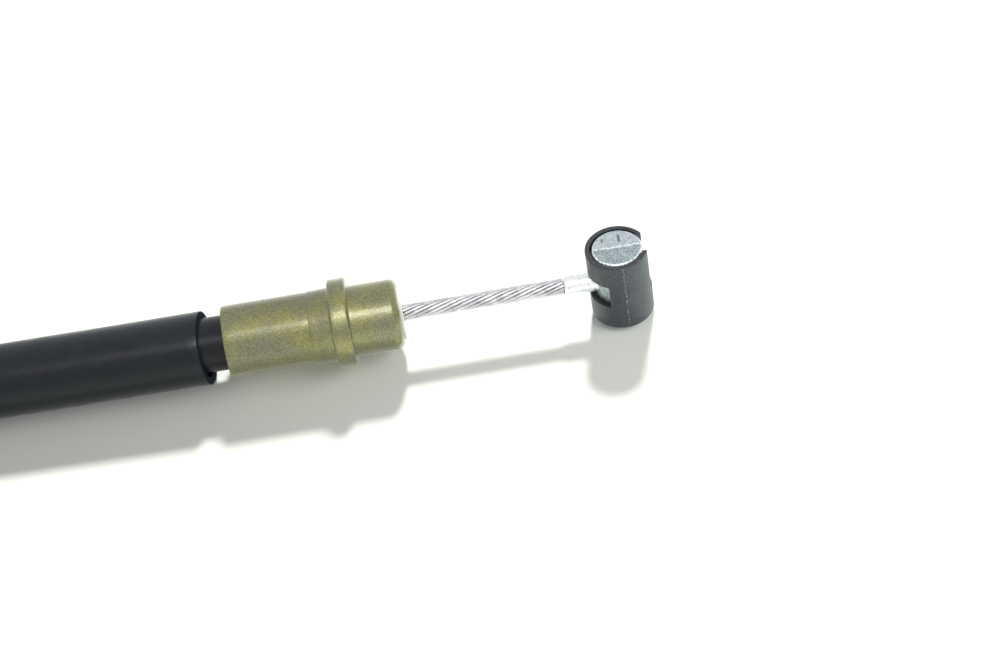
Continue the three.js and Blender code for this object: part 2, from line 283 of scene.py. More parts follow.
def drawn_steel(colours):
    """Bright drawn steel wire: clean metal with fine lines along the wire."""
    material, tree = new_material("high_carbon_steel_drawn_bright")
    stain_mm, line_mm = 1.6, 0.08
    space = surface_space(tree)
    drawn = surface_space(tree, (0.2, 1.0, 1.0))
    stain = add(tree, "TexNoise", {"Vector": space, "Scale": 1 / stain_mm, **SOFT_NOISE})
    lines = add(tree, "TexNoise", {"Vector": drawn, "Scale": 1 / line_mm, **SOFT_NOISE})
    shader = add(tree, "BsdfPrincipled", {
        "Base Color": add(
            tree, "ValToRGB", {"Fac": stain}, stops=[(0.35, linear("#B6B6BA")), (0.6, colours.rope)]
        ),
        "Metallic": 1.0,
        "Roughness": add(tree, "MapRange", {"Value": stain, **NOISE_RANGE, "To Min": 0.26, "To Max": 0.38}),
        "Normal": add(tree, "Bump", {"Height": lines, "Distance": 0.004 * MM}),
    })
    add(tree, "OutputMaterial", {"Surface": shader})
    return material


def oiled_core_painted_shade():
    """The wires under the rope's outer ones: oiled, and darkened further as a painted shade in the grooves
    between the outer wires.
    """
    material, tree = new_material("steel_core_oiled_painted_shade")
    film_mm = 0.5
    oil = add(tree, "TexNoise", {"Vector": surface_space(tree), "Scale": 1 / film_mm, **SOFT_NOISE})
    shader = add(tree, "BsdfPrincipled", {
        "Base Color": add(
            tree, "ValToRGB", {"Fac": oil}, stops=[(0.35, linear("#2A2829")), (0.65, linear("#4A484A"))]
        ),
        "Metallic": 0.6,
        "Roughness": add(tree, "MapRange", {"Value": oil, **NOISE_RANGE, "To Min": 0.3, "To Max": 0.5}),
    })
    add(tree, "OutputMaterial", {"Surface": shader})
    return material


def cast_zinc(colours):
    """Die-cast zinc alloy, left as cast: dull grey metal with a frosted, glittering grain, and a painted
    reflection on the rear half of the face.
    """
    material, tree = new_material("zinc_alloy_die_cast")
    # The frost's crystals are finer than this, and are drawn coarser so that they show
    frost_mm, cloud_mm = 0.28, 0.9
    space = surface_space(tree)
    grain = add(tree, "TexNoise", {"Vector": space, "Scale": 1 / frost_mm, **GRITTY_NOISE})
    clouds = add(tree, "TexNoise", {"Vector": space, "Scale": 1 / cloud_mm, **SOFT_NOISE})
    face = add(tree, "ValToRGB", {"Fac": clouds}, stops=[(0.34, linear("#9CA6AA")), (0.66, colours.casting)])
    # The rear half of the face is painted lighter, a painted reflection
    within = add(tree, "TexCoord", output="Generated")
    to_the_rear = add(tree, "SeparateXYZ", {"Vector": within}, output="Y")
    # Painted reflection: this mask lightens the rear half of the face
    rear = add(tree, "MapRange", {"Value": to_the_rear, "From Min": 0.49, "From Max": 0.54, "To Max": 0.8})
    painted_reflection_colour = [*linear("#C3CBD0"), 1.0]
    face_with_painted_reflection = add(tree, "Mix", {FACTOR: rear, FIRST: face, SECOND: painted_reflection_colour}, **COLOUR_MIX)
    frost_stops = [(0.40, linear("#2C3234")), (0.60, linear("#E4ECEE"))]
    frost = add(tree, "ValToRGB", {"Fac": grain}, stops=frost_stops)
    shade = add(tree, "Mix", {FACTOR: 0.8, FIRST: face_with_painted_reflection, SECOND: frost}, **SOFT_LIGHT_MIX)
    shader = add(tree, "BsdfPrincipled", {
        "Base Color": shade,
        "Metallic": 0.9,
        "Roughness": add(tree, "MapRange", {"Value": grain, **NOISE_RANGE, "To Min": 0.36, "To Max": 0.6}),
        "Normal": add(tree, "Bump", {"Height": grain, "Distance": 0.04 * MM}),
    })
    add(tree, "OutputMaterial", {"Surface": shader})
    return material


def bright_metal(name, hex_colour, speck_hex, speck_mm, speck_from, rough):
    """Plain metal with a few darker specks in its shine: the rubbed and dipped finishes, which also paint
    highlights, and the stain, which also paints shade.
    """
    material, tree = new_material(name)
    stops = [(speck_from, linear(speck_hex)), (speck_from + 0.12, linear(hex_colour))]
    specks = add(tree, "TexNoise", {"Vector": surface_space(tree), "Scale": 1 / speck_mm, **SPECKLED_NOISE})
    smoothest, roughest = rough
    roughness = add(
        tree, "MapRange", {"Value": specks, **NOISE_RANGE, "To Min": smoothest, "To Max": roughest}
    )
    shader = add(tree, "BsdfPrincipled", {
        "Base Color": add(tree, "ValToRGB", {"Fac": specks}, stops=stops),
        "Metallic": 1.0,
        "Roughness": roughness,
        "Normal": add(tree, "Bump", {"Height": specks, "Distance": 0.02 * MM}),
    })
    add(tree, "OutputMaterial", {"Surface": shader})
    return material


def moulded_nylon(name, colour, rough=(0.38, 0.5), up_faces_painted_shade=1.0, scuff_hex=None, scuff_from=0.6):
    """Moulded nylon: a waxy satin skin with a fine texture from the mould.

    The faces that look up get a painted shade: a flat colour scaled by a factor, darker below 1. A lower
    scuff_from gives more small scuffs.
    """
    material, tree = new_material(name)
    # The mould's texture and the scuffs are finer than this, and are drawn coarser so that they show
    texture_mm, cloud_mm, scuff_mm = 0.25, 2.5, 0.28
    space = surface_space(tree)
    texture = add(tree, "TexNoise", {"Vector": space, "Scale": 1 / texture_mm, **SOFT_NOISE, "Detail": 2.0})
    clouds = add(tree, "TexNoise", {"Vector": space, "Scale": 1 / cloud_mm, **SOFT_NOISE})
    skin_stops = [(0.3, shaded(colour, 0.85)), (0.7, shaded(colour, 1.12))]
    skin = add(tree, "ValToRGB", {"Fac": clouds}, stops=skin_stops)
    # Painted shade: faces that look up take a flat colour, darkened by the factor
    facing = add(tree, "TexCoord", output="Normal")
    upwards = add(tree, "SeparateXYZ", {"Vector": facing}, output="Z")
    end = add(tree, "MapRange", {"Value": upwards, "From Min": 0.6, "From Max": 0.9})
    painted_shade_colour = [*shaded(colour, up_faces_painted_shade), 1.0]
    shade = add(tree, "Mix", {FACTOR: end, FIRST: skin, SECOND: painted_shade_colour}, **COLOUR_MIX)
    if scuff_hex:
        specks = add(tree, "TexNoise", {"Vector": space, "Scale": 1 / scuff_mm, **GRITTY_NOISE})
        scuff_full = scuff_from + 0.06
        scuff = add(tree, "MapRange", {"Value": specks, "From Min": scuff_from, "From Max": scuff_full})
        scuff_colour = [*linear(scuff_hex), 1.0]
        shade = add(tree, "Mix", {FACTOR: scuff, FIRST: shade, SECOND: scuff_colour}, **COLOUR_MIX)
    smoothest, roughest = rough
    roughness = add(
        tree, "MapRange", {"Value": texture, **NOISE_RANGE, "To Min": smoothest, "To Max": roughest}
    )
    shader = add(tree, "BsdfPrincipled", {
        "Base Color": shade,
        "Roughness": roughness,
        "IOR": 1.53,
        "Normal": add(tree, "Bump", {"Height": texture, "Distance": 0.012 * MM}),
    })
    add(tree, "OutputMaterial", {"Surface": shader})
    return material


def extruded_vinyl(name, colour):
    """Extruded vinyl: satin, with faint lines along the extrusion and a slightly uneven skin."""
    material, tree = new_material(name)
    line_mm, skin_mm = 0.35, 2.2
    # The stretch that is seen runs along X, and so do its lines
    extruded = surface_space(tree, (0.04, 1.0, 1.0))
    lines = add(tree, "TexNoise", {"Vector": extruded, "Scale": 1 / line_mm, **SOFT_NOISE})
    skin = add(
        tree, "TexNoise", {"Vector": surface_space(tree), "Scale": 1 / skin_mm, **SOFT_NOISE, "Detail": 5.0}
    )
    normal = add(tree, "Bump", {"Height": lines, "Distance": 0.006 * MM})
    normal = add(tree, "Bump", {"Height": skin, "Distance": 0.05 * MM, "Normal": normal})
    shader = add(tree, "BsdfPrincipled", {
        "Base Color": add(
            tree, "ValToRGB", {"Fac": skin}, stops=[(0.3, shaded(colour, 0.8)), (0.7, shaded(colour, 1.2))]
        ),
        "Roughness": add(tree, "MapRange", {"Value": skin, **NOISE_RANGE, "To Min": 0.28, "To Max": 0.38}),
        # Soft vinyl is matted by its plasticiser, so it mirrors less than a hard plastic
        "Specular IOR Level": 0.26,
        "Normal": normal,
    })
    add(tree, "OutputMaterial", {"Surface": shader})
    return material


def vinyl_cut(colour):
    """Vinyl where a knife cut it: matte and rough, so it doesn't mirror the table as the skin does."""
    material, tree = new_material("vinyl_sleeve_cut")
    tear_mm = 0.3
    tears = add(tree, "TexNoise", {"Vector": surface_space(tree), "Scale": 1 / tear_mm, **SOFT_NOISE})
    stops = [(0.3, shaded(colour, 0.7)), (0.7, colour)]
    shader = add(tree, "BsdfPrincipled", {
        "Base Color": add(tree, "ValToRGB", {"Fac": tears}, stops=stops),
        "Roughness": 0.9,
        "Specular IOR Level": 0.1,
        "Normal": add(tree, "Bump", {"Height": tears, "Distance": 0.02 * MM}),
    })
    add(tree, "OutputMaterial", {"Surface": shader})
    return material


# Profiles and meshes, in millimetres


def arc(centre, radius, start_degrees, end_degrees, steps):
    """Points of an arc in the plane of a profile."""
    points = []
    for i in range(steps + 1):
        angle = math.radians(start_degrees + (end_degrees - start_degrees) * i / steps)
        points.append((centre[0] + radius * math.cos(angle), centre[1] + radius * math.sin(angle)))
    return points


def stations(start, end, radius, steps):
    """Points of a straight stretch, from start to just before end.

    They keep its faces short, so that the shading of a rounding ends close to it.
    """
    return [(start + (end - start) * k / steps, radius) for k in range(steps)]


def revolved(profile, sides, place):
    """A bmesh of a closed profile of (along, radius) points turned round an axis; place gives each vertex."""
    made = bmesh.new()
    rings = [
        [made.verts.new(place(along, radius, 2 * math.pi * k / sides)) for k in range(sides)]
        for along, radius in profile
    ]
    for i, ring in enumerate(rings):
        after = rings[(i + 1) % len(rings)]
        for k in range(sides):
            made.faces.new((ring[k], ring[(k + 1) % sides], after[(k + 1) % sides], after[k]))
    bmesh.ops.remove_doubles(made, verts=made.verts, dist=WELD)
    bmesh.ops.dissolve_degenerate(made, edges=made.edges, dist=WELD / 10)
    bmesh.ops.recalc_face_normals(made, faces=made.faces)
    return made


def bridged(made, rings):
    """Joins rings of vertices with faces, one ring to the next, and closes both ends."""
    for first, second in zip(rings, rings[1:]):
        for k in range(len(first)):
            after = (k + 1) % len(first)
            made.faces.new((first[k], first[after], second[after], second[k]))
    made.faces.new(rings[0])
    made.faces.new(rings[-1])


def along_x(origin, radius_of=None, shift_of=None):
    """Places profile points round an axis parallel to X through origin."""
    def place(along, radius, angle):
        r = radius_of(along, radius, angle) if radius_of else radius
        x = along + (shift_of(along, radius, angle) if shift_of else 0.0)
        return Vector((origin[0] + x, origin[1] + r * math.sin(angle), origin[2] + r * math.cos(angle)))
    return place


def along_z(origin, radius_of=None):
    """Places profile points round an axis parallel to Z through origin, with angle 0 towards +X."""
    def place(along, radius, angle):
        r = radius_of(along, radius, angle) if radius_of else radius
        return Vector((origin[0] + r * math.cos(angle), origin[1] + r * math.sin(angle), origin[2] + along))
    return place


def piece(name, made, material, sharp_degrees=SHARP_DEGREES):
    """A smooth-shaded object from a bmesh in millimetres."""
    bmesh.ops.scale(made, vec=(MM, MM, MM), verts=made.verts)
    mesh = bpy.data.meshes.new(name)
    made.to_mesh(mesh)
    made.free()
    mesh.shade_smooth()
    mesh.set_sharp_from_angle(angle=math.radians(sharp_degrees))
    mesh.materials.append(material)
    obj = bpy.data.objects.new(name, mesh)
    bpy.context.scene.collection.objects.link(obj)
    return obj


def block(name, centre, size, material, turn=0.0):
    """A box, turned about its upright axis, for joining to a piece or cutting it."""
    made = bmesh.new()
    place = Matrix.Translation(centre) @ Matrix.Rotation(turn, 4, "Z") @ Matrix.Diagonal((*size, 1.0))
    bmesh.ops.create_cube(made, size=1.0, matrix=place)
    return piece(name, made, material)


def applied(obj):
    """Turns an object's modifiers into its mesh."""
    graph = bpy.context.evaluated_depsgraph_get()
    mesh = bpy.data.meshes.new_from_object(obj.evaluated_get(graph))
    obj.modifiers.clear()
    obj.data = mesh
    mesh.shade_smooth()
    mesh.set_sharp_from_angle(angle=math.radians(SHARP_DEGREES))


def combined(obj, other, operation):
    """Joins or cuts an object by another, which is then removed."""
    modifier = obj.modifiers.new(operation.lower(), "BOOLEAN")
    modifier.operation = operation
    modifier.solver = "EXACT"
    modifier.material_mode = "TRANSFER"
    modifier.object = other
    applied(obj)
    bpy.data.objects.remove(other)


def rounded(obj, width, angle_degrees):
    """Rounds the edges of an object that are sharper than an angle."""
    bevel = obj.modifiers.new("edge rounding", "BEVEL")
    bevel.width = width * MM
    bevel.segments = 2
    bevel.limit_method = "ANGLE"
    bevel.angle_limit = math.radians(angle_degrees)
    applied(obj)


def dress(obj, body, slot, *nodes):
    """Makes a piece ride on a body and stand for its nodes. The slot is not used."""
    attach(obj, body)
    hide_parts(*nodes)


# Camera


class CABLE_OT_camera(bpy.types.Operator):
    """Sets the camera at the photograph's viewing angle"""

    bl_idname = "cable.camera"
    bl_label = "Camera"

    def execute(self, context):
        yaw = math.radians(-0.99)
        elevation = math.radians(45.2)
        roll = math.radians(10.1)
        aim = Vector((8.93, -3.96, 3.0)) * MM
        distance = 420.4 * MM
        forward = Vector((
            math.sin(yaw) * math.cos(elevation),
            math.cos(yaw) * math.cos(elevation),
            -math.sin(elevation),
        ))
        right = forward.cross(Vector((0.0, 0.0, 1.0))).normalized()
        up = right.cross(forward)
        turn = Matrix.Rotation(roll, 3, forward)
        right, up = turn @ right, turn @ up
        data = bpy.data.cameras.new("camera")
        data.sensor_width = 36.0
        data.lens = 95.64
        data.clip_start = 0.01
        camera = bpy.data.objects.new("camera", data)
        context.scene.collection.objects.link(camera)
        axes = Matrix((right, up, -forward)).transposed().to_4x4()
        camera.matrix_world = Matrix.Translation(aim - forward * distance) @ axes
        context.scene.camera = camera
        context.scene.view_settings.view_transform = "Standard"
        return {"FINISHED"}


# Conduit and sleeve


def smooth(t):
    """Eases from 0 to 1."""
    t = min(1.0, max(0.0, t))
    return t * t * (3 - 2 * t)


def coil_points(diameter):
    """The coil's turns, wound clockwise: one on top, then one inside and one outside on the floor."""
    low, high = box_mm("conduit_coil")
    centre_x, centre_y, _ = middle(low, high)
    inner = (high[0] - low[0]) / 2 - 1.5 * diameter
    between, outer = inner + diameter / 2, inner + diameter
    floor, top = low[2] + diameter / 2, low[2] + 1.5 * diameter
    # Degrees of winding: where the top turn comes down, and where the inner turn goes out
    down_from, down_to = 270, 360
    out_from, out_to = 520, 630
    last, step = 900, 10
    points = []
    for wound in range(0, last + 1, step):
        if wound <= down_to:
            # The turn comes down round the one that lies outside it
            t = smooth((wound - down_from) / (down_to - down_from))
            start = Vector((between - outer, top - floor))
            reach = start.length * (1 - t) + diameter * t
            angle = math.atan2(start.y, start.x) * (1 - t) + math.pi * t
            radius = outer + reach * math.cos(angle)
            height = floor + reach * math.sin(angle)
        else:
            radius = inner + diameter * smooth((wound - out_from) / (out_to - out_from))
            height = floor
        bearing = math.radians(-90 - wound)
        x, y = centre_x + radius * math.cos(bearing), centre_y + radius * math.sin(bearing)
        points.append((x, y, height))
    return points


class CABLE_OT_conduit(bpy.types.Operator):
    """Lays the conduit from the lever ferrule through the coil to the engine ferrule"""

    bl_idname = "cable.conduit"
    bl_label = "Conduit"

    def execute(self, context):
        sizes, colours = kit()
        seated = 12.7
        coil = coil_points(sizes.conduit_diameter / MM)
        coil_end_x, end_y, end_z = coil[-1]
        start_x = box_mm("engine_ferrule")[0][0]
        run_out = [(coil_end_x + (start_x - coil_end_x) * t, end_y, end_z) for t in (0.33, 0.66, 1.0)]
        run_out.append((start_x + seated, end_y, end_z))
        route = [Vector(p) * MM for p in [*LEVER_ROUTE, *coil, *run_out]]

        data = bpy.data.curves.new("conduit", "CURVE")
        data.dimensions = "3D"
        data.bevel_depth = sizes.conduit_diameter / 2
        data.bevel_resolution = 12
        data.resolution_u = 6
        data.use_fill_caps = True
        spline = data.splines.new("BEZIER")
        spline.bezier_points.add(len(route) - 1)
        for i, (point, place) in enumerate(zip(spline.bezier_points, route)):
            before = route[max(0, i - 1)]
            after = route[min(len(route) - 1, i + 1)]
            heading = (after - before).normalized()
            point.co = place
            point.handle_left = place - heading * (place - before).length / 3
            point.handle_right = place + heading * (after - place).length / 3
        data.materials.append(extruded_vinyl("vinyl_conduit_jacket_extruded", colours.jacket))
        conduit = bpy.data.objects.new("conduit", data)
        context.scene.collection.objects.link(conduit)
        dress(
            conduit,
            "outer_cable",
            "conduit_jacket",
            "conduit_lever_run",
            "conduit_coil",
            "conduit_engine_run",
        )
        return {"FINISHED"}


class CABLE_OT_sleeve(bpy.types.Operator):
    """Slides the loose protective sleeve over the conduit"""

    bl_idname = "cable.sleeve"
    bl_label = "Protective sleeve"

    def execute(self, context):
        sizes, colours = kit()
        low, high = box_mm("protective_sleeve")
        outer = (high[1] - low[1]) / 2
        inner = outer - sizes.sleeve_wall / MM
        length, end_inset, edge, steps = 59.4, 0.07, 0.16, 30
        # The near end is cut a little out of square, over its last fifth, with a ragged edge
        cut_slope, cut_from = 0.1, 0.8
        raggedness, tears_round, tears_start = 0.04, 3, 4.0
        # A soft tube is never quite round or straight
        unevenness, waves_along, waves_round = 0.05, 0.06, 1.2
        # It rests on the table and leans back on the conduit at its far end, and rises with the conduit
        far_height = outer + 0.02
        lean = 0.95
        near, far = LEVER_ROUTE[1], LEVER_ROUTE[5]
        rise = (near[2] - far[2]) / (near[0] - far[0])
        profile = [
            *arc((edge, inner + edge), edge, 270, 180, 3),
            *arc((edge, outer - edge), edge, 180, 90, 3),
            *stations(0, length, outer, steps)[1:],
            *arc((length - edge, outer - edge), edge, 90, 0, 4),
            *arc((length - edge, inner + edge), edge, 0, -90, 3),
            *stations(length, 0, inner, steps)[1:],
        ]

        def uneven(along, radius, angle):
            across_it = Vector((waves_round * math.cos(angle), waves_round * math.sin(angle)))
            return radius + unevenness * noise.noise(Vector((along * waves_along, *across_it)))

        def cut_out_of_square(along, radius, angle):
            if along < length / 2:
                return 0.0
            towards_front = radius * (math.cos(angle) - math.sin(angle)) * math.sqrt(0.5)
            near_end = max(0.0, (along - length * cut_from) / (length * (1 - cut_from)))
            place = Vector((tears_round * math.cos(angle), tears_round * math.sin(angle), tears_start))
            ragged = raggedness * noise.noise(place)
            return (-cut_slope * towards_front + ragged) * near_end

        made = revolved(profile, 128, along_x((0, 0, 0), uneven, cut_out_of_square))
        made.normal_update()
        for face in made.faces:
            face.material_index = int(abs(face.normal.x) > 0.5)
        tilt = Matrix.Rotation(-math.atan(lean / length), 3, "Z") @ Matrix.Rotation(-math.atan(rise), 3, "Y")
        bmesh.ops.rotate(made, cent=(0, 0, 0), matrix=tilt, verts=made.verts)
        bmesh.ops.translate(made, vec=(low[0] + end_inset, lean, far_height), verts=made.verts)
        sleeve = piece("sleeve", made, extruded_vinyl("vinyl_sleeve_soft_extruded", colours.sleeve))
        sleeve.data.materials.append(vinyl_cut(colours.sleeve))
        dress(sleeve, "outer_cable", "sleeve_vinyl", "protective_sleeve")
        return {"FINISHED"}


# Ferrules and the guide cap

# How far a ferrule's straight stretches start beside the last rounding, and end before the next
BESIDE, CLEAR = 0.2, 0.5


def crimped(radius, depth, end):
    """Presses six faint flats into the outside of a turned body, from its rear end to a station."""
    flats, start, wall = 6, 0.2, 0.5
    sector = 2 * math.pi / flats

    def radius_of(along, r, angle):
        if not start <= along <= end or r < radius - wall:
            return r
        off = (angle + sector / 2) % sector - sector / 2
        return min(r, (radius - depth) / math.cos(off))
    return radius_of


class CABLE_OT_lever_ferrule(bpy.types.Operator):
    """Turns and crimps the flanged ferrule at the lever end, with its guide cap"""

    bl_idname = "cable.lever_ferrule"
    bl_label = "Lever ferrule"

    def execute(self, context):
        sizes, colours = kit()
        low, high = box_mm("lever_ferrule")
        axis = (low[0], 0, (low[2] + high[2]) / 2)
        flange = (high[1] - low[1]) / 2
        length = high[0] - low[0]
        # Stations from the rear end, then radii
        crimp_end, body_end, flange_flat_end, flange_end, socket_depth = 13.6, 17.2, 19.34, 20.1, 12.7
        body, nose, socket, bore = 5.75, 5.65, 4.7, 3.3
        # The crimp leaves the body a step lower than the collar before the flange
        step, step_round, step_start, step_end = 0.09, 0.12, 0.25, 0.9
        nose_round, flange_round, flange_rear_round, rear_round = 1.3, 0.45, 0.3, 0.28
        root, groove, groove_lift = 0.1, 0.35, 0.1
        mouth, lip = 0.25, 0.2
        collar = body + step
        profile = [
            (mouth, socket),
            (socket_depth, socket),
            (socket_depth, bore),
            (length - lip, bore),
            (length, bore + lip),
            *arc((length - nose_round, nose - nose_round), nose_round, 2, 90, 10),
            *stations(length - nose_round - BESIDE, flange_end + CLEAR, nose, 12),
            *arc((flange_end + root, nose + root), root, 270, 180, 4),
            *arc((flange_end - flange_round, flange - flange_round), flange_round, 0, 90, 6),
            *stations(flange_flat_end, body_end + flange_rear_round, flange, 4),
            *arc((body_end + flange_rear_round, flange - flange_rear_round), flange_rear_round, 90, 180, 5),
            *arc((body_end - groove, collar + groove + groove_lift), groove, 0, -90, 4),
            (crimp_end + step_end, collar),
            *arc((crimp_end + step_start, collar - step_round), step_round, 90, 180, 3),
            *stations(crimp_end - BESIDE / 2, CLEAR, body, 16),
            *arc((rear_round, body - rear_round), rear_round, 90, 180, 4),
        ]
        flats = crimped(body, sizes.crimp_depth / MM, crimp_end)
        plate = zinc_plate_yellow_passivated(colours)
        ferrule = piece("ferrule_lever", revolved(profile, 180, along_x(axis, flats)), plate)
        dress(ferrule, "outer_cable", "passivated_zinc", "lever_ferrule")

        low, high = box_mm("wire_guide_cap")
        # The disc is a little wider and thinner than the solid's, and its rear sinks just into the ferrule
        disc = (high[1] - low[1]) / 2 + 0.2
        face = high[0] - 0.25
        rim = axis[0] + length - 0.02
        shank, hole, hole_round, edge = 3.0, 1.55, 0.25, 0.18
        cap_profile = [
            (low[0], hole),
            (face - hole_round, hole),
            *arc((face - hole_round, hole + hole_round), hole_round, 270, 360, 4),
            *arc((face - edge, disc - edge), edge, 0, 90, 5),
            (rim, disc),
            (rim, shank),
            (low[0], shank),
        ]
        cap = piece(
            "guide_cap",
            revolved(cap_profile, 96, along_x((0, 0, axis[2]))),
            moulded_nylon("nylon_natural_moulded", colours.cap, rough=(0.3, 0.42)),
        )
        dress(cap, "outer_cable", "white_nylon", "wire_guide_cap")
        return {"FINISHED"}


class CABLE_OT_engine_ferrule(bpy.types.Operator):
    """Turns the plain ferrule at the engine end"""

    bl_idname = "cable.engine_ferrule"
    bl_label = "Engine ferrule"

    def execute(self, context):
        low, high = box_mm("engine_ferrule")
        _, y, z = middle(low, high)
        radius = (high[2] - low[2]) / 2
        length = high[0] - low[0]
        socket, socket_depth, bore, crimp_end = 4.7, 13.0, 1.55, 12.5
        nose_round, rear_round, mouth, lip = 1.3, 0.28, 0.25, 0.2
        profile = [
            (mouth, socket),
            (socket_depth, socket),
            (socket_depth, bore),
            (length - lip, bore),
            (length, bore + lip),
            *arc((length - nose_round, radius - nose_round), nose_round, 2, 90, 8),
            *stations(length - nose_round - BESIDE, CLEAR, radius, 20),
            *arc((rear_round, radius - rear_round), rear_round, 90, 180, 4),
        ]
        plate = bpy.data.materials["zinc_plate_yellow_passivated_turned"]
        flats = crimped(radius, kit()[0].crimp_depth / MM, crimp_end)
        ferrule = piece("ferrule_engine", revolved(profile, 160, along_x((low[0], y, z), flats)), plate)
        dress(ferrule, "outer_cable", "passivated_zinc", "engine_ferrule")
        return {"FINISHED"}


# Inner wire


def rope_mesh(start, end, axis_y, axis_z, diameter, lay):
    """A rope of 12 wires laid left-handed over a core, from start to end along X."""
    wires, sides, core_sides, ring_pitch = 12, 10, 24, 0.3
    wire_radius = diameter * 0.097
    ring = diameter / 2 - wire_radius
    core_radius = ring - 0.1
    steps = int((end - start) / ring_pitch)
    slope = 2 * math.pi * ring / lay
    made = bmesh.new()
    for w in range(wires):
        rings = []
        for i in range(steps + 1):
            x = start + (end - start) * i / steps
            turn = 2 * math.pi * (w / wires - x / lay)
            out = Vector((0, math.cos(turn), math.sin(turn)))
            heading = Vector((1, slope * math.sin(turn), -slope * math.cos(turn))).normalized()
            side = heading.cross(out).normalized()
            centre = Vector((x, axis_y, axis_z)) + out * ring
            rings.append([
                made.verts.new(centre + wire_radius * (out * math.cos(a) + side * math.sin(a)))
                for a in (2 * math.pi * k / sides for k in range(sides))
            ])
        bridged(made, rings)
    outer_faces = len(made.faces)
    core_profile = [(start, 0), (end, 0), (end, core_radius), (start, core_radius)]
    core = revolved(core_profile, core_sides, along_x((0, axis_y, axis_z)))
    core_mesh = bpy.data.meshes.new("core")
    core.to_mesh(core_mesh)
    core.free()
    made.from_mesh(core_mesh)
    bpy.data.meshes.remove(core_mesh)
    for number, face in enumerate(made.faces):
        face.material_index = int(number >= outer_faces)
    bmesh.ops.recalc_face_normals(made, faces=made.faces)
    return made


class CABLE_OT_inner_wire(bpy.types.Operator):
    """Lays the two ends of the inner wire as ropes of steel wires"""

    bl_idname = "cable.inner_wire"
    bl_label = "Inner wire"

    def execute(self, context):
        sizes, colours = kit()
        steel, core = drawn_steel(colours), oiled_core_painted_shade()
        diameter, lay = sizes.rope_diameter / MM, sizes.lay_length / MM
        for node, body in (("lever_inner_wire", "lever_wire"), ("engine_inner_wire", "engine_wire")):
            low, high = box_mm(node)
            _, y, z = middle(low, high)
            made = rope_mesh(low[0], high[0], y, z, diameter, lay)
            rope = piece(node.replace("inner_wire", "rope"), made, steel, sharp_degrees=60)
            # The core's dark metal paints the shade in the grooves between the wires
            rope.data.materials.append(core)
            dress(rope, body, "steel_rope", node)
        return {"FINISHED"}


# Nipples and bush


def cast_nipple(name, node, zinc, rubbed_and_highlight, dent_stain_and_shade, tinned_painted_highlight):
    """A cast barrel with a tinned neck that runs back along -X, and its die's flash line on both ends; the
    neck's near-white metal is also a painted highlight.
    """
    low, high = box_mm(node)
    _, y, z = middle(low, high)
    radius = (high[1] - low[1]) / 2
    centre = (high[0] - radius, y, z)
    flash_height, flash_width, edge = 0.12, 0.42, 0.45
    half = (high[2] - low[2]) / 2 - flash_height
    # The barrel stands a little proud of its seat
    top = half + 0.2
    flat = radius * 0.55
    profile = [
        (-half, 0),
        (-half, flat),
        *arc((-half + edge, radius - edge), edge, 180, 90, 6),
        *arc((top - edge, radius - edge), edge, 90, 0, 6),
        (top, flat),
        (top, 0),
    ]
    made = revolved(profile, 144, along_z(centre))
    made.normal_update()
    # The rounding of the upper end is rubbed bright by the lever, and its bright metal is also a painted
    # highlight
    for face in made.faces:
        face.material_index = int(0.35 < face.normal.z < 0.95)
    barrel = piece(name, made, zinc)
    barrel.data.materials.append(rubbed_and_highlight)

    reach = centre[0] - low[0]
    neck, neck_round, mouth, taper, fillet = 1.6, 0.45, 0.5, 2.4, 0.3
    fillet_from, fillet_to, buried = -radius - 0.2, -radius + 1.5, -1.0
    neck_profile = [
        (-reach, 0),
        (-reach, neck - mouth),
        *arc((-reach + neck_round, neck - neck_round), neck_round, 180, 90, 5),
        (-reach + taper, neck),
        (fillet_from, neck),
        (fillet_to, neck + fillet),
        (buried, neck + fillet),
        (buried, 0),
    ]
    # The neck's near-white metal is tin and a painted highlight
    combined(barrel, piece("neck", revolved(neck_profile, 64, along_x(centre)), tinned_painted_highlight), "UNION")

    flash_size = (2 * radius - 2 * edge, flash_width, 2 * flash_height)
    # The flash lines take the same bright metal, which also paints a highlight on them
    for end in (-half, top):
        combined(barrel, block("flash", (centre[0], y, z + end), flash_size, rubbed_and_highlight), "UNION")
    # The ejector pins leave two short dents in the rear half of the face: along X, along Y, and the size
    dents = (
        (0.55, 1.95, (0.4, 1.4, 0.2)),
        (-2.1, 1.95, (0.3, 0.8, 0.14)),
    )
    for along, to_rear, size in dents:
        # The dents' cut faces take a darker metal: a stain, and a painted shade in the recess
        dent = block("dent", (centre[0] + along, y + to_rear, z + top), size, dent_stain_and_shade)
        combined(barrel, dent, "DIFFERENCE")
    rounded(barrel, 0.06, 50)
    return barrel


class CABLE_OT_nipples(bpy.types.Operator):
    """Casts the nipples onto the ends of the inner wire"""

    bl_idname = "cable.nipples"
    bl_label = "Nipples"

    def execute(self, context):
        # The rubbed and tinned metals also paint highlights, and the stained one paints the dents' shade
        finishes = (
            cast_zinc(kit()[1]),
            bright_metal("zinc_alloy_rubbed_bright_painted_highlight", "#F2F5F6", "#A0AAAD", 0.5, 0.38, (0.3, 0.45)),
            bright_metal("zinc_alloy_pin_stain_painted_shade", "#8D9599", "#646B70", 0.3, 0.42, (0.45, 0.6)),
            bright_metal("tin_solder_dipped_painted_highlight", "#ECEFF1", "#98A3A6", 0.4, 0.3, (0.22, 0.4)),
        )
        lever = cast_nipple("nipple_lever", "lever_nipple", *finishes)
        dress(lever, "lever_wire", "cast_zinc", "lever_nipple")
        engine = cast_nipple("nipple_engine", "engine_nipple", *finishes)
        dress(engine, "engine_wire", "cast_zinc", "engine_nipple")
        return {"FINISHED"}


